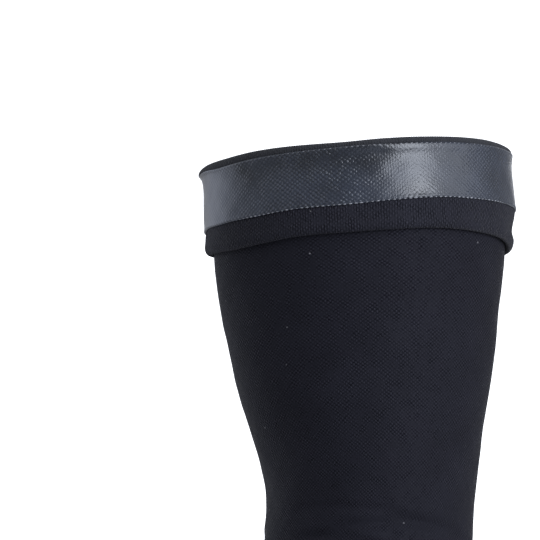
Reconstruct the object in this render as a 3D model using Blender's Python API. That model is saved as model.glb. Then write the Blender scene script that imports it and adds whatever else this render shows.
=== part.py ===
"""A compression arm sleeve in its worn shape, with its silicone-coated top band turned down.

The sleeve is a seamless knitted tube. Its top band is a double welt that is turned outwards and down
over the tube, so that the grip film, which lies against the skin in use, faces out. Metres, +Z up.
X runs from the inner side of the arm to its outer side, and -Y is the front. The origin is on the
arm's axis, at the middle of the grip film's height, where the arm holds the sleeve.
"""

import math
from collections import namedtuple

import bmesh
import bpy
from mathutils import Vector

# ---- Driving sizes, in metres --------------------------------------------------------------------
KNIT = 0.0010  # one layer of the tube's knit
WELT = 0.0018  # the two layers of the top band, pressed together
FILM = 0.0005  # the silicone film
SEAM_GAP = 0.0003  # between pieces that meet
JOIN_DEPTH = 0.0050  # from the turned edge down to where the tube is knitted onto the band
LIP = 0.0024  # thickness of the band's rounded free edge
WRIST_WELT = 0.0150  # height of the knitted edge at the wrist
WRIST_WALL = 0.0014  # its thickness
WRIST_RIM = 0.0006  # radius of its rounded rims

ROUND = 48  # points round the arm
TUBE_STEPS = 22  # stretches down the tube
TUBE_CROWDING = 1.35  # over 1, the tube's stretches are shorter under the band than at the wrist
FOLD_STEPS = 5  # stretches round the turned edge
LIP_STEPS = 5  # stretches round the free edge
RIM_STEPS = 2  # stretches round a quarter of a wrist rim

# ---- The arm form, which is the outside of the tube -----------------------------------------------
# Height and the ring's middle in metres, its size across and from front to back, and how far it
# leans up to the outer side (tilt) and up to the back (pitch), in degrees.
Section = namedtuple("Section", "name height x y width depth tilt pitch")
SECTIONS = (
    Section("turned edge", 0.0120, -0.0011, 0.0000, 0.1062, 0.1060, 4.2, 0.0),
    Section("grip film", 0.0000, 0.0000, 0.0000, 0.1050, 0.1055, 4.0, 0.0),
    Section("free edge of the band", -0.0235, 0.0007, 0.0000, 0.1037, 0.1045, 3.5, 0.0),
    Section("upper arm", -0.0470, 0.0011, 0.0004, 0.0973, 0.1015, 2.6, 0.0),
    Section("lower upper arm", -0.0700, 0.0022, 0.0012, 0.0894, 0.0978, 2.2, 0.0),
    Section("above the elbow", -0.0935, 0.0041, 0.0022, 0.0784, 0.0937, 1.6, 0.0),
    Section("crook of the elbow", -0.1080, 0.0043, 0.0028, 0.0742, 0.0918, 0.6, -0.5),
    Section("elbow", -0.1260, 0.0032, 0.0026, 0.0742, 0.0905, -0.5, -2.5),
    Section("forearm", -0.1730, 0.0005, -0.0018, 0.0800, 0.0870, -1.5, -6.5),
    Section("middle forearm", -0.2400, -0.0015, -0.0110, 0.0700, 0.0765, -1.0, -8.0),
    Section("above the wrist", -0.3130, -0.0025, -0.0215, 0.0545, 0.0630, -0.5, -8.0),
    Section("wrist", -0.3560, -0.0027, -0.0275, 0.0497, 0.0585, 0.0, -8.0),
    Section("wrist edge", -0.3730, -0.0027, -0.0299, 0.0503, 0.0590, 0.0, -8.0),
)
TOP = SECTIONS[0].height
LENGTH = TOP - SECTIONS[-1].height

# ---- The band's outer face ------------------------------------------------------------------------
# How far down from the turned edge each line round the band lies, and how far off the tube, on the
# inner and on the outer side of the arm.
BandLine = namedtuple("BandLine", "name inner_down outer_down inner_off outer_off")
BAND_LINES = (
    BandLine("upper edge of the film", 0.0020, 0.0020, 0.0034, 0.0030),
    BandLine("upper film", 0.0060, 0.0056, 0.0024, 0.0024),
    BandLine("middle of the film", 0.0120, 0.0114, 0.0022, 0.0022),
    BandLine("lower film", 0.0178, 0.0166, 0.0023, 0.0028),
    BandLine("lower edge of the film", 0.0222, 0.0207, 0.0026, 0.0037),
    BandLine("below the film", 0.0245, 0.0238, 0.0029, 0.0028),
    BandLine("plain strip", 0.0274, 0.0278, 0.0034, 0.0026),
    BandLine("middle of the lip", 0.0306, 0.0319, 0.0037, 0.0028),
)
FILM_LINES = BAND_LINES[:5]

# ---- Finishes ------------------------------------------------------------------------------------
Finish = namedtuple("Finish", "colour roughness")
BLACK_KNIT = Finish((0.013, 0.014, 0.019), 0.85)
CLEAR_FILM = Finish((0.080, 0.088, 0.105), 0.30)


# ---- Shape functions -----------------------------------------------------------------------------
def section_value(height, name):
    """A smooth curve through that column of SECTIONS, read at a height."""
    rows = SECTIONS[::-1]
    last = len(rows) - 1
    i = max(k for k in range(last) if k == 0 or rows[k].height <= height)

    def value(k):
        return getattr(rows[k], name)

    def slope(k):
        a, b = max(k - 1, 0), min(k + 1, last)
        return (value(b) - value(a)) / (rows[b].height - rows[a].height)

    step = rows[i + 1].height - rows[i].height
    t = (height - rows[i].height) / step
    return (
        (2 * t**3 - 3 * t**2 + 1) * value(i)
        + (t**3 - 2 * t**2 + t) * step * slope(i)
        + (3 * t**2 - 2 * t**3) * value(i + 1)
        + (t**3 - t**2) * step * slope(i + 1)
    )


def arm_point(angle, down, off):
    """The point at that angle round the arm, that far below the turned edge and off the tube's outside."""
    height = TOP - down
    columns = ("x", "y", "width", "depth", "tilt", "pitch")
    x, y, width, depth, tilt, pitch = (section_value(height, name) for name in columns)
    across = (width / 2 + off) * math.cos(angle)
    along = (depth / 2 + off) * math.sin(angle)
    tilt, pitch = math.radians(tilt), math.radians(pitch)
    rise = across * math.sin(tilt) + along * math.sin(pitch)
    return Vector((x + across * math.cos(tilt), y + along * math.cos(pitch), height + rise))


def arc(off, down, radius, start, end, steps):
    """Points (off, down) on an arc round a centre, its angles in degrees from outwards towards up."""
    for k in range(steps + 1):
        turn = math.radians(start + (end - start) * k / steps)
        yield off + radius * math.cos(turn), down - radius * math.sin(turn)


def band_points(lines, angle, moved_out):
    """Points (off, down) on those lines of the band's outer face at that angle round the arm."""
    outer_share = (1 + math.cos(angle)) / 2
    inner_share = 1 - outer_share
    for line in lines:
        off = inner_share * line.inner_off + outer_share * line.outer_off
        down = inner_share * line.inner_down + outer_share * line.outer_down
        yield off + moved_out, down


# ---- Wall sections: closed outlines of (off, down) at one angle round the arm ---------------------
def tube_outline(_angle):
    """One layer of knit, from its join under the turned edge to the wrist welt."""
    start, end = JOIN_DEPTH + SEAM_GAP, LENGTH - WRIST_WELT - SEAM_GAP
    shares = [(k / TUBE_STEPS) ** TUBE_CROWDING for k in range(TUBE_STEPS + 1)]
    downs = [start + (end - start) * share for share in shares]
    outside = [(0.0, down) for down in downs]
    inside = [(-KNIT, down) for down in downs]
    return outside + inside[::-1]


def band_outline(angle):
    """Up from the join inside, over the turned edge, down outside, round the free edge and back."""
    *face, (lip_off, lip_down) = band_points(BAND_LINES, angle, 0.0)
    back = list(band_points(BAND_LINES[:-1], angle, -WELT))
    fold = (face[0][0] + KNIT) / 2
    fold_off = fold - KNIT
    outline = [(-KNIT, JOIN_DEPTH)]
    outline += arc(fold_off, fold, fold, 180, 0, FOLD_STEPS)
    outline += face[1:]
    outline += arc(lip_off - LIP / 2, lip_down, LIP / 2, 15, -195, LIP_STEPS)
    outline += back[:0:-1]
    outline += arc(fold_off, fold, fold - WELT, 0, 180, FOLD_STEPS)
    outline += [(WELT - KNIT, JOIN_DEPTH)]
    return outline


def film_outline(angle):
    """The coating, on the band's own lines, moved out."""
    inside = list(band_points(FILM_LINES, angle, SEAM_GAP))
    outside = list(band_points(FILM_LINES, angle, SEAM_GAP + FILM))
    return outside + inside[::-1]


def wrist_outline(_angle):
    """The knitted edge, a little thicker than the tube, with both rims rounded."""
    reach = WRIST_WALL / 2 - WRIST_RIM
    outer, inner = -KNIT / 2 + reach, -KNIT / 2 - reach
    upper, lower = LENGTH - WRIST_WELT + WRIST_RIM, LENGTH - WRIST_RIM
    corners = ((outer, upper, 90), (outer, lower, 0), (inner, lower, -90), (inner, upper, -180))
    return [
        point
        for off, down, start in corners
        for point in arc(off, down, WRIST_RIM, start, start - 90, RIM_STEPS)
    ]


# ---- Building ------------------------------------------------------------------------------------
def finish_material(name, finish):
    material = bpy.data.materials.new(name)
    material.use_nodes = True
    shader = material.node_tree.nodes["Principled BSDF"]
    shader.inputs["Base Color"].default_value = (*finish.colour, 1.0)
    shader.inputs["Roughness"].default_value = finish.roughness
    shader.inputs["Metallic"].default_value = 0.0
    return material


def round_piece(name, outline, finish):
    """A wall all round the arm: its outline at each angle, joined to the next one."""
    bm = bmesh.new()
    rings = []
    for k in range(ROUND):
        angle = math.tau * k / ROUND
        rings.append([bm.verts.new(arm_point(angle, down, off)) for off, down in outline(angle)])
    for ring, following in zip(rings, rings[1:] + rings[:1]):
        for i in range(len(ring)):
            j = (i + 1) % len(ring)
            bm.faces.new((ring[i], ring[j], following[j], following[i]))
    bmesh.ops.recalc_face_normals(bm, faces=bm.faces)
    mesh = bpy.data.meshes.new(name)
    bm.to_mesh(mesh)
    bm.free()
    mesh.shade_smooth()
    mesh.set_sharp_from_angle(angle=math.radians(40))
    mesh.materials.append(finish_material(name, finish))
    piece = bpy.data.objects.new(name, mesh)
    bpy.context.scene.collection.objects.link(piece)


def build():
    for old in list(bpy.data.objects):
        bpy.data.objects.remove(old)
    round_piece("sleeve_tube", tube_outline, BLACK_KNIT)
    round_piece("turned_top_band", band_outline, BLACK_KNIT)
    round_piece("silicone_grip_film", film_outline, CLEAR_FILM)
    round_piece("wrist_welt", wrist_outline, BLACK_KNIT)


build()
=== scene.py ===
"""The looks of the compression arm sleeve: its knit, its turned-down top band and the grip film on it.

Each piece of cloth here takes the place of one plain solid of the part and keeps to its form. Metres,
+Z up. X runs from the inner side of the arm to its outer side, and -Y is the front. An angle round the
arm starts at the outer side and turns towards the back, so the front is at -90 degrees.
"""

import math
from collections import namedtuple

import bpy
import numpy as np
from mathutils import Matrix, Vector


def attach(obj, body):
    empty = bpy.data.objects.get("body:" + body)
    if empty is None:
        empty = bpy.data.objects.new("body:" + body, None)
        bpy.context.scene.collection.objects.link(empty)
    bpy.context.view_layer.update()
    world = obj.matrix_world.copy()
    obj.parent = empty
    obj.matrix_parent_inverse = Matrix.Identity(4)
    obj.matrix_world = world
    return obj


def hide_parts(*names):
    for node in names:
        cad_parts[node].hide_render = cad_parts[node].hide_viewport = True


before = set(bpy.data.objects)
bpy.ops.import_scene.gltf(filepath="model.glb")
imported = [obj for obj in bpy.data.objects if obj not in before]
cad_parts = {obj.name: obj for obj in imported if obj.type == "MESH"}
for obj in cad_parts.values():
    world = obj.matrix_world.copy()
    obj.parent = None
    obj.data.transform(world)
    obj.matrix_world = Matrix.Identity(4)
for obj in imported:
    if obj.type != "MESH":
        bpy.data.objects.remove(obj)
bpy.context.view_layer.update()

# ---- Driving sizes, as in the part but for the band's lines --------------------------------------
KNIT = 0.0010  # one layer of the tube's knit
WELT = 0.0018  # the two layers of the top band, pressed together
FILM = 0.0005  # the silicone film
SEAM_GAP = 0.0003  # between pieces that meet
JOIN_DEPTH = 0.0050  # from the turned edge down to where the tube is knitted onto the band
LIP_DROP = 0.0028  # from the top of the free edge's roll to its lowest point
WRIST_WELT = 0.0150  # height of the knitted edge at the wrist
WRIST_WALL = 0.0014  # its thickness
WRIST_RIM = 0.0006  # radius of its rounded rims

# The arm form, which is the outside of the tube: height and the ring's middle in metres, its size
# across and from front to back, and how far it leans up to the outer side (tilt) and up to the back
# (pitch), in degrees.
Section = namedtuple("Section", "name height x y width depth tilt pitch")
SECTIONS = (
    Section("turned edge", 0.0120, -0.0011, 0.0000, 0.1062, 0.1060, 4.2, 0.0),
    Section("grip film", 0.0000, 0.0000, 0.0000, 0.1050, 0.1055, 4.0, 0.0),
    Section("free edge of the band", -0.0235, 0.0007, 0.0000, 0.1037, 0.1045, 3.5, 0.0),
    Section("upper arm", -0.0470, 0.0011, 0.0004, 0.0973, 0.1015, 2.6, 0.0),
    Section("lower upper arm", -0.0700, 0.0022, 0.0012, 0.0894, 0.0978, 2.2, 0.0),
    Section("above the elbow", -0.0935, 0.0041, 0.0022, 0.0784, 0.0937, 1.6, 0.0),
    Section("crook of the elbow", -0.1080, 0.0043, 0.0028, 0.0742, 0.0918, 0.6, -0.5),
    Section("elbow", -0.1260, 0.0032, 0.0026, 0.0742, 0.0905, -0.5, -2.5),
    Section("forearm", -0.1730, 0.0005, -0.0018, 0.0800, 0.0870, -1.5, -6.5),
    Section("middle forearm", -0.2400, -0.0015, -0.0110, 0.0700, 0.0765, -1.0, -8.0),
    Section("above the wrist", -0.3130, -0.0025, -0.0215, 0.0545, 0.0630, -0.5, -8.0),
    Section("wrist", -0.3560, -0.0027, -0.0275, 0.0497, 0.0585, 0.0, -8.0),
    Section("wrist edge", -0.3730, -0.0027, -0.0299, 0.0503, 0.0590, 0.0, -8.0),
)
TOP = SECTIONS[0].height
LENGTH = TOP - SECTIONS[-1].height

# The band's outer face: how far down from the turned edge each line round it lies, and how far off
# the tube, on the inner and on the outer side of the arm.
BandLine = namedtuple("BandLine", "name inner_down outer_down inner_off outer_off")
BAND_LINES = (
    BandLine("upper edge of the film", 0.0014, 0.0014, 0.0018, 0.0027),
    BandLine("under the turned edge", 0.0032, 0.0032, 0.0018, 0.0029),
    BandLine("upper film", 0.0064, 0.0060, 0.0018, 0.0026),
    BandLine("middle of the film", 0.0120, 0.0114, 0.0024, 0.0028),
    BandLine("lower film", 0.0178, 0.0166, 0.0028, 0.0032),
    BandLine("lower edge of the film", 0.0222, 0.0207, 0.0029, 0.0037),
    BandLine("below the film", 0.0242, 0.0226, 0.0031, 0.0036),
    BandLine("plain strip", 0.0272, 0.0272, 0.0034, 0.0027),
    BandLine("top of the lip's roll", 0.0295, 0.0308, 0.0036, 0.0035),
)
FILM_END = 5  # the line on which the film ends
FLARE_END = 1.3  # how many lines down the flare of the band's upper edge has faded
BAND_RADIUS = 0.0545  # of the arm and the band together, to measure round them

# ---- The silicone's edges, off the band's outer face ----------------------------------------------
FILM_LIFT = 0.00010  # the film's outer face where it is thinnest
FILM_BACK = 0.00008  # its inner face
UPPER_ROUND = 0.0009  # height of the rounding of its upper edge
LOWER_ROUND = 0.0002  # and of its lower edge
RIDGE_RISE = 0.00007  # the low ridge along its edges
RIDGE_IN = 0.0006  # how far in from them it runs
RIDGE_WIDTH = 0.0005
SCALLOP = 0.00011  # how far its lower edge waves, with a wave for two ribs
SCALLOP_REACH = 0.0010  # how far up the wave reaches

# The rows of drops along the film's edges: the band's line they are on, how far below it, their radius,
# their height as a share of it, and how far their middles lie off the band's face.
DropRow = namedtuple("DropRow", "line below radius height off")
DROP_ROWS = (
    DropRow(0.0, 0.0005, 0.00029, 0.55, 0.00056),
    DropRow(float(FILM_END), -0.0002, 0.00042, 0.62, 0.00045),
)
DROP_LENGTH = 1.4  # how far a drop reaches round the arm, as a share of its radius
DROP_RISE = 0.7  # and outwards

# ---- The knit ------------------------------------------------------------------------------------
LOFT = 0.00040  # the yarn stands this far out of the tube's form
WALES = 360  # ribs round the sleeve
TUBE_COURSE = 0.000675  # height of a row of loops on the tube
BAND_COURSE = 0.00079  # the band is stretched less along the arm
BAND_RIB = 0.00005  # height of a rib on the band
WELT_RIB = 0.00006  # and on the wrist welt

# How far the band's lines wander up and down round the arm, in metres, positive for down, how far its
# upper edge flares out, how clearly the loops stand out through the film, and how full the drops are.
Wander = namedtuple("Wander", "angle rim film_top film_end lip flare loops beads")
WANDERS = (
    Wander(-180, -0.0018, -0.0013, -0.0009, -0.0026, 0.0011, 0.08, 0.35),
    Wander(-165, -0.0018, -0.0008, -0.0006, -0.0011, 0.0008, 0.14, 0.30),
    Wander(-156, -0.0016, 0.0000, 0.0000, -0.0006, 0.0003, 0.20, 0.35),
    Wander(-147, -0.0014, 0.0002, 0.0002, 0.0000, 0.0001, 0.30, 0.55),
    Wander(-131, -0.0014, 0.0000, 0.0004, -0.0003, 0.0000, 0.60, 0.90),
    Wander(-115, -0.0010, 0.0000, 0.0002, -0.0011, 0.0000, 1.10, 1.00),
    Wander(-95, -0.0004, 0.0000, 0.0007, -0.0011, 0.0000, 0.70, 1.05),
    Wander(-80, -0.0008, -0.0001, 0.0003, -0.0014, 0.0000, 0.14, 1.20),
    Wander(-60, -0.0011, -0.0004, -0.0003, -0.0019, 0.0000, 0.19, 1.20),
    Wander(-40, -0.0012, -0.0004, 0.0000, -0.0015, 0.0000, 0.54, 1.00),
    Wander(-20, -0.0011, -0.0004, 0.0003, -0.0006, 0.0001, 0.75, 0.70),
    Wander(0, -0.0012, -0.0006, 0.0004, 0.0010, 0.0005, 0.50, 0.60),
    Wander(30, -0.0011, -0.0002, 0.0003, 0.0005, 0.0004, 0.45, 0.60),
    Wander(65, -0.0009, 0.0001, 0.0000, -0.0013, 0.0001, 0.80, 0.90),
    Wander(100, -0.0011, -0.0002, 0.0005, -0.0018, 0.0000, 0.90, 1.00),
    Wander(140, -0.0012, -0.0004, -0.0002, -0.0031, 0.0003, 0.40, 0.80),
    Wander(162, -0.0016, -0.0011, -0.0009, -0.0037, 0.0008, 0.15, 0.45),
)

# Soft hills and hollows all over the sleeve: their length along it, waves round it, and height.
Swell = namedtuple("Swell", "length waves height")
SWELLS = (
    Swell(0.070, 3, 0.00012),
    Swell(0.043, -5, 0.00009),
    Swell(0.031, 4, 0.00007),
    Swell(0.057, 8, 0.00006),
    Swell(0.024, -9, 0.00004),
    Swell(0.019, 13, 0.00003),
    Swell(0.027, -16, 0.00003),
    Swell(0.013, 21, 0.00002),
    Swell(0.011, -29, 0.00002),
    Swell(0.009, 34, 0.000015),
)
# Where the top band bulges: the middle, its reach round and along the arm, and its height.
Bulge = namedtuple("Bulge", "angle down around along height")
BULGES = (
    Bulge(-86, 0.0018, 0.0052, 0.0014, 0.00080),
    Bulge(-59, 0.0180, 0.0070, 0.0045, 0.00020),
    Bulge(-118, 0.0150, 0.0080, 0.0050, 0.00012),
    Bulge(-30, 0.0080, 0.0060, 0.0060, 0.00016),
    Bulge(-143, 0.0065, 0.0060, 0.0045, 0.00014),
    Bulge(25, 0.0140, 0.0070, 0.0050, 0.00020),
    Bulge(75, 0.0050, 0.0060, 0.0040, 0.00022),
    Bulge(121, 0.0170, 0.0080, 0.0050, 0.00020),
    Bulge(150, 0.0060, 0.0060, 0.0050, 0.00018),
)
# Where the film lies smoother than round about and shines more sharply; its colour is also darkened there, a
# painted shade. Here the height says how smooth it is, up to 1.
SMOOTH_SHADED_PATCHES = (
    Bulge(-77, 0.0018, 0.0110, 0.0008, 0.9),
    Bulge(-80, 0.0062, 0.0130, 0.0032, 0.9),
    Bulge(-69, 0.0176, 0.0060, 0.0026, 1.0),
    Bulge(-106, 0.0048, 0.0130, 0.0034, 0.6),
    Bulge(-135, 0.0055, 0.0080, 0.0040, 0.4),
    Bulge(20, 0.0080, 0.0120, 0.0050, 0.8),
    Bulge(100, 0.0150, 0.0120, 0.0040, 0.8),
)
# Creases: soft troughs between two low ridges. Their middle, half their length round the arm, how
# they slant (down for each radian round) and bow, and their width and depth.
Crease = namedtuple("Crease", "angle down reach slant bow width depth")
CREASES = (
    Crease(-96, 0.1290, 38, 0.0040, 0.0050, 0.0025, 0.00072),
    Crease(-80, 0.1345, 52, -0.0030, 0.0060, 0.0030, 0.00128),
    Crease(-108, 0.1402, 31, 0.0060, 0.0045, 0.0023, 0.00080),
    Crease(-84, 0.1450, 44, 0.0015, 0.0030, 0.0028, 0.00104),
    Crease(-62, 0.1516, 27, -0.0070, -0.0020, 0.0024, 0.00064),
    Crease(-101, 0.1562, 35, 0.0035, -0.0040, 0.0031, 0.00080),
    Crease(62, 0.1180, 24, 0.0080, -0.0050, 0.0034, 0.00056),
    Crease(104, 0.1265, 33, -0.0050, -0.0060, 0.0039, 0.00072),
    Crease(81, 0.1520, 28, 0.0040, 0.0060, 0.0037, 0.00064),
    Crease(168, 0.1330, 22, 0.0100, 0.0000, 0.0030, 0.00048),
    Crease(8, 0.1420, 20, -0.0110, 0.0000, 0.0029, 0.00048),
    Crease(-130, 0.3285, 36, 0.0030, 0.0020, 0.0026, 0.00056),
    Crease(-45, 0.3340, 48, -0.0025, -0.0020, 0.0024, 0.00072),
    Crease(70, 0.3302, 40, 0.0020, 0.0025, 0.0029, 0.00056),
    Crease(152, 0.3395, 30, 0.0045, 0.0010, 0.0023, 0.00048),
    Crease(-80, 0.3460, 33, 0.0035, 0.0010, 0.0022, 0.00048),
)

# ---- The photograph's view ------------------------------------------------------------------------
IMAGE = 540  # pixels, square
PIXEL = 0.00036  # metres a pixel, at the arm's axis
ORIGIN_PIXEL = (358.0, 197.4)  # where the model's origin shows, from the top left
VIEW_RISE = 7.5  # degrees, the camera looks up at the band
VIEW_DISTANCE = 2.2
SENSOR = 36.0  # millimetres

# Large soft lamps, aimed at the origin.
Lamp = namedtuple("Lamp", "name azimuth rise distance width height power colour")
LAMPS = (
    Lamp("tall_window", 39.0, 9.0, 1.5, 0.56, 0.80, 21.0, (0.95, 0.98, 1.06)),
    Lamp("curtained_window", 70.0, 9.0, 1.5, 1.30, 1.10, 13.6, (0.95, 0.98, 1.06)),
    Lamp("ceiling_lamp", 24.0, 45.0, 1.5, 0.60, 0.24, 4.5, (0.97, 0.98, 1.04)),
    Lamp("window_behind", -125.0, 10.0, 1.8, 1.45, 1.40, 5.6, (0.88, 0.96, 1.18)),
)
# The room gives WALL of light, and more or less towards these sides of it.
WALL = 0.56
WALL_COLOUR = (0.97, 0.99, 1.04)
Glow = namedtuple("Glow", "name azimuth rise light sharpness")
GLOWS = (
    Glow("white backdrop", 180.0, 4.0, 1.20, 60.0),
    Glow("bright doorway", 168.0, 10.0, 1.70, 230.0),
    Glow("shaded corner", 145.0, 0.0, -0.28, 15.0),
    Glow("roof light", -58.0, 46.0, 1.15, 8.0),
)
FLOOR_DEPTH = 0.75  # the floor below the origin
FLOOR_RADIUS = 30.0


# ---- Shape functions ------------------------------------------------------------------------------
def smooth_curve(at, places, values):
    """A smooth curve through those values at those places, which rise, read at each place in at."""
    places, values = np.asarray(places, float), np.asarray(values, float)
    last = len(places) - 1
    before, after = np.maximum(np.arange(last + 1) - 1, 0), np.minimum(np.arange(last + 1) + 1, last)
    slopes = (values[after] - values[before]) / (places[after] - places[before])
    i = np.clip(np.searchsorted(places, at, side="right") - 1, 0, last - 1)
    step = places[i + 1] - places[i]
    t = (at - places[i]) / step
    return (
        (2 * t**3 - 3 * t**2 + 1) * values[i]
        + (t**3 - 2 * t**2 + t) * step * slopes[i]
        + (3 * t**2 - 2 * t**3) * values[i + 1]
        + (t**3 - t**2) * step * slopes[i + 1]
    )


def section_curve(height, name):
    """A column of SECTIONS as a smooth curve, read at each height."""
    rows = SECTIONS[::-1]
    return smooth_curve(height, [row.height for row in rows], [getattr(row, name) for row in rows])


def wander(angle, name):
    """A column of WANDERS as a smooth curve round the arm, read at each angle in radians."""
    rows = WANDERS * 3
    count = len(WANDERS)
    turns = [row.angle + 360 * (k // count - 1) for k, row in enumerate(rows)]
    degrees = (np.degrees(angle) + 180) % 360 - 180
    return smooth_curve(degrees, turns, [getattr(row, name) for row in rows])


def mounds(table, angle, down):
    """The bulges of that table, added up."""
    rise = 0.0
    for bulge in table:
        turn = (angle - math.radians(bulge.angle) + math.pi) % math.tau - math.pi
        round_arm, along_arm = turn * BAND_RADIUS / bulge.around, (down - bulge.down) / bulge.along
        rise = rise + bulge.height * np.exp(-(round_arm**2 + along_arm**2) / 2)
    return rise


def unevenness(angle, down):
    """How far the swells and creases bring the knit off its plain form."""
    rise = mounds(BULGES, angle, down)
    for k, swell in enumerate(SWELLS):
        rise = rise + swell.height * np.cos(math.tau * down / swell.length + swell.waves * angle + 1.9 * k)
    for crease in CREASES:
        turn = (angle - math.radians(crease.angle) + math.pi) % math.tau - math.pi
        side = (down - crease.down - crease.slant * turn - crease.bow * turn**2) / crease.width
        along = np.exp(-((turn / math.radians(crease.reach)) ** 4))
        rise = rise - crease.depth * along * (1 - 0.9 * side**2) * np.exp(-(side**2))
    return rise


def arm_points(angle, down, off):
    """Points at those angles, that far below the turned edge and off the tube's outside."""
    height = TOP - down
    off = off + unevenness(angle, down)
    columns = ("x", "y", "width", "depth", "tilt", "pitch")
    x, y, width, depth, tilt, pitch = (section_curve(height, name) for name in columns)
    across = (width / 2 + off) * np.cos(angle)
    along = (depth / 2 + off) * np.sin(angle)
    tilt, pitch = np.radians(tilt), np.radians(pitch)
    rise = across * np.sin(tilt) + along * np.sin(pitch)
    return np.stack((x + across * np.cos(tilt), y + along * np.cos(pitch), height + rise), axis=-1)


def arc(off, down, radius, start, end, steps):
    """Rows (off, down) on an arc round a centre, its angles in degrees from outwards towards up."""
    for k in range(steps + 1):
        turn = math.radians(start + (end - start) * k / steps)
        yield off + radius * math.cos(turn), down - radius * math.sin(turn)


def band_line(angle, place):
    """(off, down) on the band's outer face at each angle, place counting BAND_LINES from the film's edge."""
    outer_share = (1 + np.cos(angle)) / 2
    lines = range(len(BAND_LINES))

    def read(name):
        return smooth_curve(place, lines, [getattr(line, name) for line in BAND_LINES])

    off = (1 - outer_share) * read("inner_off") + outer_share * read("outer_off")
    down = (1 - outer_share) * read("inner_down") + outer_share * read("outer_down")
    stations = (0, FILM_END, len(BAND_LINES) - 1)
    for k, name in enumerate(("film_top", "film_end", "lip")):
        share = np.interp(place, stations, [k == j for j in range(3)])
        down = down + share * wander(angle, name)
    return off + np.maximum(1 - place / FLARE_END, 0) ** 1.5 * wander(angle, "flare"), down


def wall(name, angles, rows, course, finish, marks=None):
    """A closed wall all round the arm. rows are its outline's (off, down) at those angles, in turn.

    Its map named knit counts wales round the arm and courses along the outline. marks has a name and
    a value for each row, or each angle of each row, that the finish reads.
    """
    off = np.stack([row[0] + 0 * angles for row in rows], axis=1)
    down = np.stack([row[1] + 0 * angles for row in rows], axis=1)
    points = arm_points(angles[:, None], down, off)
    columns, count = off.shape
    here = np.arange(columns * count).reshape(columns, count)
    below = np.roll(here, -1, axis=1)
    faces = np.stack((here, below, np.roll(below, -1, axis=0), np.roll(here, -1, axis=0)), axis=-1)
    mesh = bpy.data.meshes.new(name)
    mesh.from_pydata(points.reshape(-1, 3).tolist(), [], faces.reshape(-1, 4).tolist())

    steps = np.linalg.norm(np.roll(points, -1, axis=1) - points, axis=2).mean(axis=0)
    rows_v = np.concatenate(([0.0], np.cumsum(steps))) / course
    k, i = np.meshgrid(np.arange(columns), np.arange(count), indexing="ij")
    u = np.stack((k, k, k + 1, k + 1), axis=-1) * WALES / columns
    v = rows_v[np.stack((i, i + 1, i + 1, i), axis=-1)]
    layer = mesh.uv_layers.new(name="knit")
    layer.uv.foreach_set("vector", np.stack((u, v), axis=-1).astype(np.float32).ravel())

    for mark, values in (marks or {}).items():
        each = np.stack([value + 0 * angles for value in values], axis=1)
        layer = mesh.attributes.new(mark, "FLOAT", "POINT")
        layer.data.foreach_set("value", each.astype(np.float32).ravel())
    return finished_piece(mesh, finish)


def finished_piece(mesh, finish):
    """The piece of that mesh, smooth and in its finish, put in the scene."""
    mesh.shade_smooth()
    mesh.materials.append(finish)
    piece = bpy.data.objects.new(mesh.name, mesh)
    bpy.context.scene.collection.objects.link(piece)
    return piece


def angles_round(count):
    return np.arange(count) * math.tau / count


# ---- Finishes ------------------------------------------------------------------------------------
# How finely the ribs and the rows of loops wander, and by how many ribs or rows.
WALE_WANDER, WALE_SHIFT = 230.0, 0.9
COURSE_WANDER, COURSE_SHIFT = 180.0, 1.8


class Wire:
    """What varies over a surface. Arithmetic on a number adds Math nodes; a colour goes through Nodes."""

    def __init__(self, nodes, socket):
        self.nodes = nodes
        self.socket = socket

    def output(self, name):
        """Another output of the same node."""
        return Wire(self.nodes, self.socket.node.outputs[name])

    def __add__(self, other):
        return self.nodes.maths("ADD", self, other)

    def __sub__(self, other):
        return self.nodes.maths("SUBTRACT", self, other)

    def __rsub__(self, other):
        return self.nodes.maths("SUBTRACT", other, self)

    def __mul__(self, other):
        return self.nodes.maths("MULTIPLY", self, other)

    def __pow__(self, other):
        return self.nodes.maths("POWER", self, other)

    def __gt__(self, other):
        return self.nodes.maths("GREATER_THAN", self, other)

    def __lt__(self, other):
        return self.nodes.maths("LESS_THAN", self, other)

    __radd__ = __add__
    __rmul__ = __mul__

    def cosine(self):
        return self.nodes.maths("COSINE", self)

    def at_least(self, other):
        return self.nodes.maths("MAXIMUM", self, other)


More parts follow.
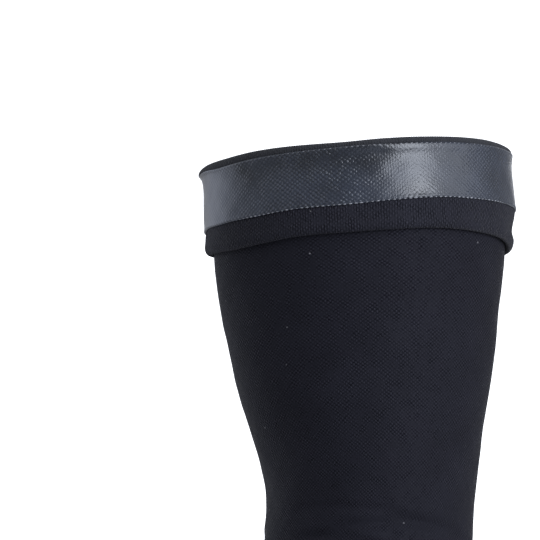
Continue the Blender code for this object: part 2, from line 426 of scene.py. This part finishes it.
class Nodes:
    """The nodes of one material or world."""

    def __init__(self, tree):
        self.tree = tree

    def node(self, kind, settings, sockets, output=0):
        """A wire from a node of that kind, its settings made first, then its sockets' values or links."""
        node = self.tree.nodes.new(kind)
        for name, value in settings.items():
            setattr(node, name, value)
        for key, value in sockets.items():
            self.feed(node, key, value)
        return Wire(self, node.outputs[output])

    def feed(self, node, key, value):
        socket = node.inputs[key]
        if isinstance(value, Wire):
            self.tree.links.new(value.socket, socket)
        else:
            socket.default_value = value

    def maths(self, operation, *values):
        return self.node("ShaderNodeMath", {"operation": operation}, dict(enumerate(values)))

    def mix(self, share, first, second):
        """A colour from the first to the second as the share goes from 0 to 1."""
        sockets = {0: share, 6: first, 7: second}
        return self.node("ShaderNodeMix", {"data_type": "RGBA"}, sockets, output=2)

    def scaled(self, colour, amount):
        return self.node("ShaderNodeVectorMath", {"operation": "SCALE"}, {0: colour, "Scale": amount})

    def place(self):
        return self.node("ShaderNodeTexCoord", {}, {}, output="Object")

    def noise(self, scale, detail):
        sockets = {"Vector": self.place(), "Scale": scale, "Detail": detail}
        return self.node("ShaderNodeTexNoise", {}, sockets)

    def knit_loops(self, unrest):
        """Two waves between -1 and 1: the ribs, and the loops staggered from one rib to the next.

        The more unrest, the shorter the stretches over which they wander.
        """
        where = self.node("ShaderNodeUVMap", {"uv_map": "knit"}, {})
        parts = self.node("ShaderNodeSeparateXYZ", {}, {0: where})
        wales = parts + self.noise(WALE_WANDER * unrest, 3.0) * WALE_SHIFT
        courses = parts.output("Y") + self.noise(COURSE_WANDER * unrest, 3.0) * COURSE_SHIFT
        rib = (wales * math.tau).cosine()
        return rib, (wales * math.pi).cosine() * (courses * math.pi).cosine()

    def mark(self, name):
        return self.node("ShaderNodeAttribute", {"attribute_name": name}, {}, output="Fac")

    def bump(self, height, depth):
        return self.node("ShaderNodeBump", {}, {"Height": height, "Distance": depth, "Strength": 1.0})


def new_finish(name):
    """A material, its nodes and its shader."""
    material = bpy.data.materials.new(name)
    material.use_nodes = True
    nodes = Nodes(material.node_tree)
    return material, nodes, material.node_tree.nodes["Principled BSDF"]


# The three knits: the colours between the loops, darker as painted shade in the hollows, and on them, how
# far the ribs and the loops stand out, how deep the bump is in metres, and how rough, glossy and downy the
# yarn is.
Yarn = namedtuple("Yarn", "name dark light rib loop depth roughness gloss sheen")
YARNS = (
    Yarn(
        "compression_knit", (0.0025, 0.0026, 0.0042), (0.0129, 0.0131, 0.0183),
        rib=0.15, loop=0.85, depth=0.00010, roughness=0.60, gloss=0.026, sheen=0.010,
    ),
    Yarn(
        "band_knit", (0.0018, 0.0019, 0.0034), (0.0166, 0.0170, 0.0238),
        rib=0.50, loop=0.60, depth=0.00020, roughness=0.75, gloss=0.058, sheen=0.03,
    ),
    Yarn(
        "welt_knit", (0.0032, 0.0032, 0.0055), (0.0125, 0.0127, 0.0195),
        rib=0.70, loop=0.40, depth=0.00020, roughness=0.75, gloss=0.058, sheen=0.03,
    ),
)
FOLD_SHEEN_COLOUR = (0.0248, 0.0264, 0.0296)  # the turned edge is painted paler, a painted sheen where light catches the fold
LINT_COLOUR = (0.16, 0.16, 0.17)
LINT_SCALE = 130.0  # places for a speck in each metre
LINT_SIZE = 0.045  # of a speck, as a share of its place
LINT_FREE = 0.45  # the share of the places with no speck
LINT_STRENGTH = 0.45


def knit_finish(yarn):
    """Matt near-black knit: ribs, staggered loops that stand out and catch light, painted shade between
    them, and a little lint.
    """
    material, nodes, shader = new_finish(yarn.name)
    rib, loop = nodes.knit_loops(2.8)
    fibre = nodes.noise(2600.0, 2.0) - 0.5
    worn = (nodes.noise(420.0, 4.0) * 4.2 - 1.3).at_least(0.05)
    relief = (rib * yarn.rib + loop * yarn.loop) * worn + fibre * 0.6
    # Painted shade: the colour is darker between the loops and lighter on them.
    tone = (relief * 0.5 + 0.5).at_least(0.0)
    mottle = nodes.noise(70.0, 3.0) * 0.5 + 0.75
    cloth = nodes.scaled(nodes.mix(tone, (*yarn.dark, 1.0), (*yarn.light, 1.0)), mottle)
    # Painted sheen: the turned edge is mixed towards a paler colour.
    if yarn.name == "band_knit":
        cloth = nodes.mix(nodes.mark("fold") * (tone * 0.2 + 0.8), cloth, (*FOLD_SHEEN_COLOUR, 1.0))
    where = {"Vector": nodes.place(), "Scale": LINT_SCALE}
    specks = nodes.node("ShaderNodeTexVoronoi", {"feature": "F1"}, where, output="Distance")
    chance = nodes.node("ShaderNodeSeparateXYZ", {}, {0: specks.output("Color")})
    lint = (specks < LINT_SIZE) * (chance > LINT_FREE)
    nodes.feed(shader, "Base Color", nodes.mix(lint * LINT_STRENGTH, cloth, (*LINT_COLOUR, 1.0)))
    nodes.feed(shader, "Roughness", (yarn.roughness + 0.25) - tone * 0.50)
    nodes.feed(shader, "Normal", nodes.bump(relief, yarn.depth))
    shader.inputs["Specular IOR Level"].default_value = yarn.gloss
    shader.inputs["Sheen Weight"].default_value = yarn.sheen
    shader.inputs["Sheen Roughness"].default_value = 0.45
    return material


def film_finish():
    """Glossy clear silicone over the same knit, whose loops stand out through it."""
    material, nodes, shader = new_finish("silicone_film")
    rib, loop = nodes.knit_loops(2.4)
    fibre = nodes.noise(1800.0, 2.0) - 0.5
    worn = (nodes.noise(420.0, 4.0) * 3.0 - 0.7).at_least(0.1)
    relief = (loop + rib * 0.12) * worn * nodes.mark("loops") + rib * 0.035 + fibre * 0.50
    tone = (relief * 0.65 + 0.42).at_least(0.0)
    mottle = (nodes.noise(90.0, 3.0) * 1.8 - 0.4).at_least(0.0)
    smooth = nodes.mark("smooth")
    # Painted shade: the knit seen through the film is darker between its loops.
    clear = nodes.mix(tone, (0.0023, 0.0038, 0.0086, 1.0), (0.0204, 0.0251, 0.0368, 1.0))
    # Painted shade: the colour is darkened where the film is marked smooth.
    amount = (mottle * 0.7 + 0.7 - smooth * 0.55).at_least(0.15)
    nodes.feed(shader, "Base Color", nodes.scaled(clear, amount))
    nodes.feed(shader, "Roughness", mottle * 0.12 + 0.27 - smooth * 0.04)
    nodes.feed(shader, "Normal", nodes.bump(relief, 0.00012))
    shader.inputs["IOR"].default_value = 1.42
    shader.inputs["Specular Tint"].default_value = (0.93, 0.96, 1.0, 1.0)
    return material


def drop_finish():
    """Thicker silicone, a little milky, and paler still as a painted highlight."""
    material, nodes, shader = new_finish("silicone_drops")
    cloud = nodes.noise(900.0, 2.0)
    # Painted highlight: the drops are paler than the film, standing in for their glints.
    nodes.feed(shader, "Base Color", nodes.scaled((0.15, 0.157, 0.178), cloud * 0.8 + 0.4))
    nodes.feed(shader, "Roughness", cloud * 0.2 + 0.12)
    shader.inputs["IOR"].default_value = 1.40
    return material


def plain_finish(name, colour, roughness):
    material, nodes, shader = new_finish(name)
    grain = nodes.noise(3.0, 2.0) * 0.04 + 0.98
    nodes.feed(shader, "Base Color", nodes.scaled(colour, grain))
    shader.inputs["Roughness"].default_value = roughness
    shader.inputs["Specular IOR Level"].default_value = 0.2
    return material


finishes = {yarn.name: knit_finish(yarn) for yarn in YARNS}
finishes["silicone_film"] = film_finish()
finishes["silicone_drops"] = drop_finish()


# ---- The sleeve's pieces --------------------------------------------------------------------------
def sleeve_tube():
    """One layer of knit, from its join under the turned edge to the wrist welt."""
    start, end = JOIN_DEPTH + SEAM_GAP, LENGTH - WRIST_WELT - SEAM_GAP
    outer_steps, inner_steps, columns = 300, 58, 260
    outside = [(LOFT, start + (end - start) * k / outer_steps) for k in range(outer_steps + 1)]
    inside = [(-KNIT, start + (end - start) * k / inner_steps) for k in range(inner_steps + 1)]
    rows = outside + inside[::-1]
    return wall("sleeve_tube_knit", angles_round(columns), rows, TUBE_COURSE, finishes["compression_knit"])


def turned_band():
    """The double welt: up inside, over the turned edge, down outside, round the free edge and back."""
    face_steps, fold_steps, lip_steps = 36, 14, 12
    lip_turn = 190  # degrees that the lip rolls under
    least_gap = 0.0002  # between its inner layer and the tube
    angles = angles_round(3 * WALES)
    rib = BAND_RIB * np.cos(WALES * angles)
    last = len(BAND_LINES) - 1
    face = [band_line(angles, last * k / face_steps) for k in range(face_steps)]
    lip_off, lip_down = band_line(angles, float(last))
    top_off, top_down = face[0]
    fold = (top_off + KNIT) / 2
    centre = fold - KNIT
    highest = wander(angles, "rim")
    # Up inside and over the turned edge.
    rows = [(-KNIT, JOIN_DEPTH - (JOIN_DEPTH - fold) * k / 2) for k in range(2)]
    for k in range(fold_steps + 1):
        turn = math.pi * (1 - k / fold_steps)
        outside = k > fold_steps // 2
        side_down = fold if k < fold_steps // 2 else top_down
        lift = math.sin(turn)
        reach = fold + rib + (0.5 * wander(angles, "flare") if outside else 0)
        rows.append((centre + reach * math.cos(turn), side_down + (highest - side_down - rib) * lift))
    # Down the outer face and round the lip.
    rows += [(off + rib, down) for off, down in face[1:]]
    roll = (lip_off - SEAM_GAP) / 2
    for k in range(lip_steps + 1):
        turn = math.radians(-lip_turn * k / lip_steps)
        rows.append((
            lip_off - roll + (roll + rib) * math.cos(turn),
            lip_down - (LIP_DROP + rib) * math.sin(turn),
        ))
    # Back up behind the outer face and over inside the fold, to the join.
    rows += [(np.maximum(off - WELT, least_gap), down) for off, down in face[-2:6:-4]]
    for turn in np.linspace(0, math.pi, 7):
        rows.append((centre + (fold - WELT) * math.cos(turn), fold - (fold - WELT) * math.sin(turn)))
    rows.append((WELT - KNIT, JOIN_DEPTH))
    # The painted sheen is strongest over the turned edge.
    fold_sheen_share = [0.0] * len(rows)
    fold_sheen_share[4:17] = np.sin(np.linspace(0.15, 0.9, 13) * math.pi) ** 0.5
    return wall("turned_band_knit", angles, rows, BAND_COURSE, finishes["band_knit"], {"fold": fold_sheen_share})


def grip_film():
    """The silicone film on the band, thicker along its edges."""
    angles = angles_round(2 * WALES)
    scallop = np.cos(WALES / 2 * angles)
    places = np.concatenate((np.linspace(0.0, 0.5, 9), np.linspace(0.6, FILM_END, 40)))
    _, first = band_line(angles, 0.0)
    _, last = band_line(angles, float(FILM_END))
    outside = []
    for place in places:
        off, down = band_line(angles, place)
        from_edge = np.minimum(down - first, last - down)
        ridge = np.exp(-((from_edge - RIDGE_IN) / RIDGE_WIDTH) ** 2)
        lower_round = np.sqrt(np.clip((last - down) / LOWER_ROUND, 0.05, 1.0))
        upper_round = np.sqrt(1 - (1 - np.clip((down - first) / UPPER_ROUND, 0.02, 1.0)) ** 2)
        thick = FILM_LIFT + FILM * lower_round * upper_round + RIDGE_RISE * ridge * (1 + 0.5 * scallop)
        reach = SCALLOP * scallop * np.exp(-((last - down) / SCALLOP_REACH) ** 2)
        outside.append((off + thick, down + reach))
    lines = [band_line(angles, place) for place in places[::4]]
    inside = [(off + FILM_BACK, down) for off, down in lines]
    rows = outside + inside[::-1]
    marks = {
        "loops": [wander(angles, "loops")] * len(rows),
        "smooth": [mounds(SMOOTH_SHADED_PATCHES, angles, down) for _, down in rows],
    }
    return wall("grip_film_sheet", angles, rows, BAND_COURSE, finishes["silicone_film"], marks)


def edge_beads():
    """The loops that the film's two edges run over, filled with silicone as a row of small drops."""
    spread = np.random.default_rng(11)
    turns, steps = 8, 4
    dome = []
    for j in range(steps + 1):
        tip = math.pi / 2 * j / steps
        for i in range(turns):
            t = math.tau * i / turns
            dome.append((math.sin(tip) * math.cos(t), math.sin(tip) * math.sin(t), math.cos(tip)))
    dome = np.array(dome)
    ring = [
        (j * turns + i, (j + 1) * turns + i, (j + 1) * turns + (i + 1) % turns, j * turns + (i + 1) % turns)
        for j in range(steps)
        for i in range(turns)
    ]
    vertices, faces = [], []
    for row in DROP_ROWS:
        for k in range(WALES // 2):
            angle = math.tau * k / (WALES // 2)
            off, down = band_line(angle, row.line)
            off, down = off + row.off, down + row.below
            at = arm_points(angle, down, off)
            beside = arm_points(angle + 0.01, down, off) - at
            below = arm_points(angle, down + 0.001, off) - at
            beside, below = beside / np.linalg.norm(beside), below / np.linalg.norm(below)
            out = np.cross(below, beside)
            size = row.radius * spread.uniform(0.65, 1.15) * float(wander(angle, "beads"))
            shape = dome * (size * DROP_LENGTH, size * row.height, size * DROP_RISE)
            first = len(vertices)
            vertices += (at + shape @ np.stack((beside, below, out))).tolist()
            faces += [tuple(first + n for n in face) for face in ring]
    mesh = bpy.data.meshes.new("film_edge_beads")
    mesh.from_pydata(vertices, [], faces)
    return finished_piece(mesh, finishes["silicone_drops"])


def wrist_edge():
    """The plain knitted edge at the wrist, a closed wall with rounded rims."""
    steps = 7  # between one rounded rim and the next
    angles = angles_round(3 * WALES)
    rib = WELT_RIB * np.cos(WALES * angles)
    reach = WRIST_WALL / 2 - WRIST_RIM
    outer, inner = -KNIT / 2 + reach, -KNIT / 2 - reach
    upper, lower = LENGTH - WRIST_WELT + WRIST_RIM, LENGTH - WRIST_RIM
    corners = ((outer, upper, 90), (outer, lower, 0), (inner, lower, -90), (inner, upper, -180))
    rows = []
    for off, down, start in corners:
        side = list(arc(off, down, WRIST_RIM, start, start - 90, 4))
        if rows:
            (from_off, from_down), (to_off, to_down) = rows[-1], side[0]
            rows += [
                (from_off + (to_off - from_off) * k / steps, from_down + (to_down - from_down) * k / steps)
                for k in range(1, steps)
            ]
        rows += side
    middle = -KNIT / 2
    rows = [(off + rib * (1 if off > middle else -1), down) for off, down in rows]
    return wall("wrist_welt_knit", angles, rows, BAND_COURSE, finishes["welt_knit"])


# ---- Camera, lamps and floor ----------------------------------------------------------------------
def set_camera():
    """The photograph's view, with the origin at its pixel."""
    rise = math.radians(VIEW_RISE)
    forward = Vector((0.0, math.cos(rise), math.sin(rise)))
    right = Vector((1.0, 0.0, 0.0))
    up = right.cross(forward)
    middle = IMAGE / 2
    aim = right * (middle - ORIGIN_PIXEL[0]) * PIXEL + up * (ORIGIN_PIXEL[1] - middle) * PIXEL
    lens = bpy.data.cameras.new("camera")
    lens.sensor_width = SENSOR
    lens.lens = SENSOR * VIEW_DISTANCE / (IMAGE * PIXEL)
    camera = bpy.data.objects.new("camera", lens)
    camera.matrix_world = Matrix.Translation(aim - forward * VIEW_DISTANCE) @ Matrix(
        (right, up, -forward)
    ).transposed().to_4x4()
    bpy.context.scene.collection.objects.link(camera)
    bpy.context.scene.camera = camera


def direction(azimuth, rise):
    """Azimuth is from the front, positive to the outer side, and rise is above level."""
    turn, rise = math.radians(azimuth), math.radians(rise)
    return Vector((math.sin(turn) * math.cos(rise), -math.cos(turn) * math.cos(rise), math.sin(rise)))


def set_lamps():
    for lamp in LAMPS:
        light = bpy.data.lights.new(lamp.name, "AREA")
        light.shape = "RECTANGLE"
        light.size, light.size_y = lamp.width, lamp.height
        light.energy = lamp.power
        light.color = lamp.colour
        towards = direction(lamp.azimuth, lamp.rise)
        holder = bpy.data.objects.new(lamp.name, light)
        holder.location = towards * lamp.distance
        holder.rotation_mode = "QUATERNION"
        holder.rotation_quaternion = towards.to_track_quat("Z", "Y")
        holder.visible_camera = False
        bpy.context.scene.collection.objects.link(holder)


def set_room():
    """A plain room, whitest behind the arm, with a pale floor."""
    world = bpy.data.worlds.new("room")
    bpy.context.scene.world = world
    world.use_nodes = True
    nodes = Nodes(world.node_tree)
    where = nodes.node("ShaderNodeTexCoord", {}, {}, output="Generated")
    light = WALL
    for glow in GLOWS:
        side = direction(glow.azimuth, glow.rise)
        dot = {"operation": "DOT_PRODUCT"}
        facing = nodes.node("ShaderNodeVectorMath", dot, {0: where, 1: side}, output="Value")
        light = facing.at_least(0.0) ** glow.sharpness * glow.light + light
    nodes.feed(world.node_tree.nodes["Background"], "Color", nodes.scaled(WALL_COLOUR, light))

    bpy.ops.mesh.primitive_circle_add(vertices=96, radius=FLOOR_RADIUS, fill_type="NGON")
    floor = bpy.context.object
    floor.name = "floor"
    floor.location.z = -FLOOR_DEPTH
    floor.data.materials.append(plain_finish("pale_floor", (0.80, 0.80, 0.80), 0.8))


set_camera()
set_lamps()
set_room()
bpy.context.scene.view_settings.view_transform = "Standard"

tube = sleeve_tube()
band = turned_band()
film = grip_film()
beads = edge_beads()
welt = wrist_edge()

Piece = namedtuple("Piece", "piece node slot")
PIECES = (
    Piece(tube, "sleeve_tube", "compression_knit"),
    Piece(band, "turned_top_band", "band_knit"),
    Piece(film, "silicone_grip_film", "silicone_film"),
    Piece(beads, None, "silicone_film"),
    Piece(welt, "wrist_welt", "welt_knit"),
)
for piece, node, slot in PIECES:
    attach(piece, "root")
    if node:
        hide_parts(node)
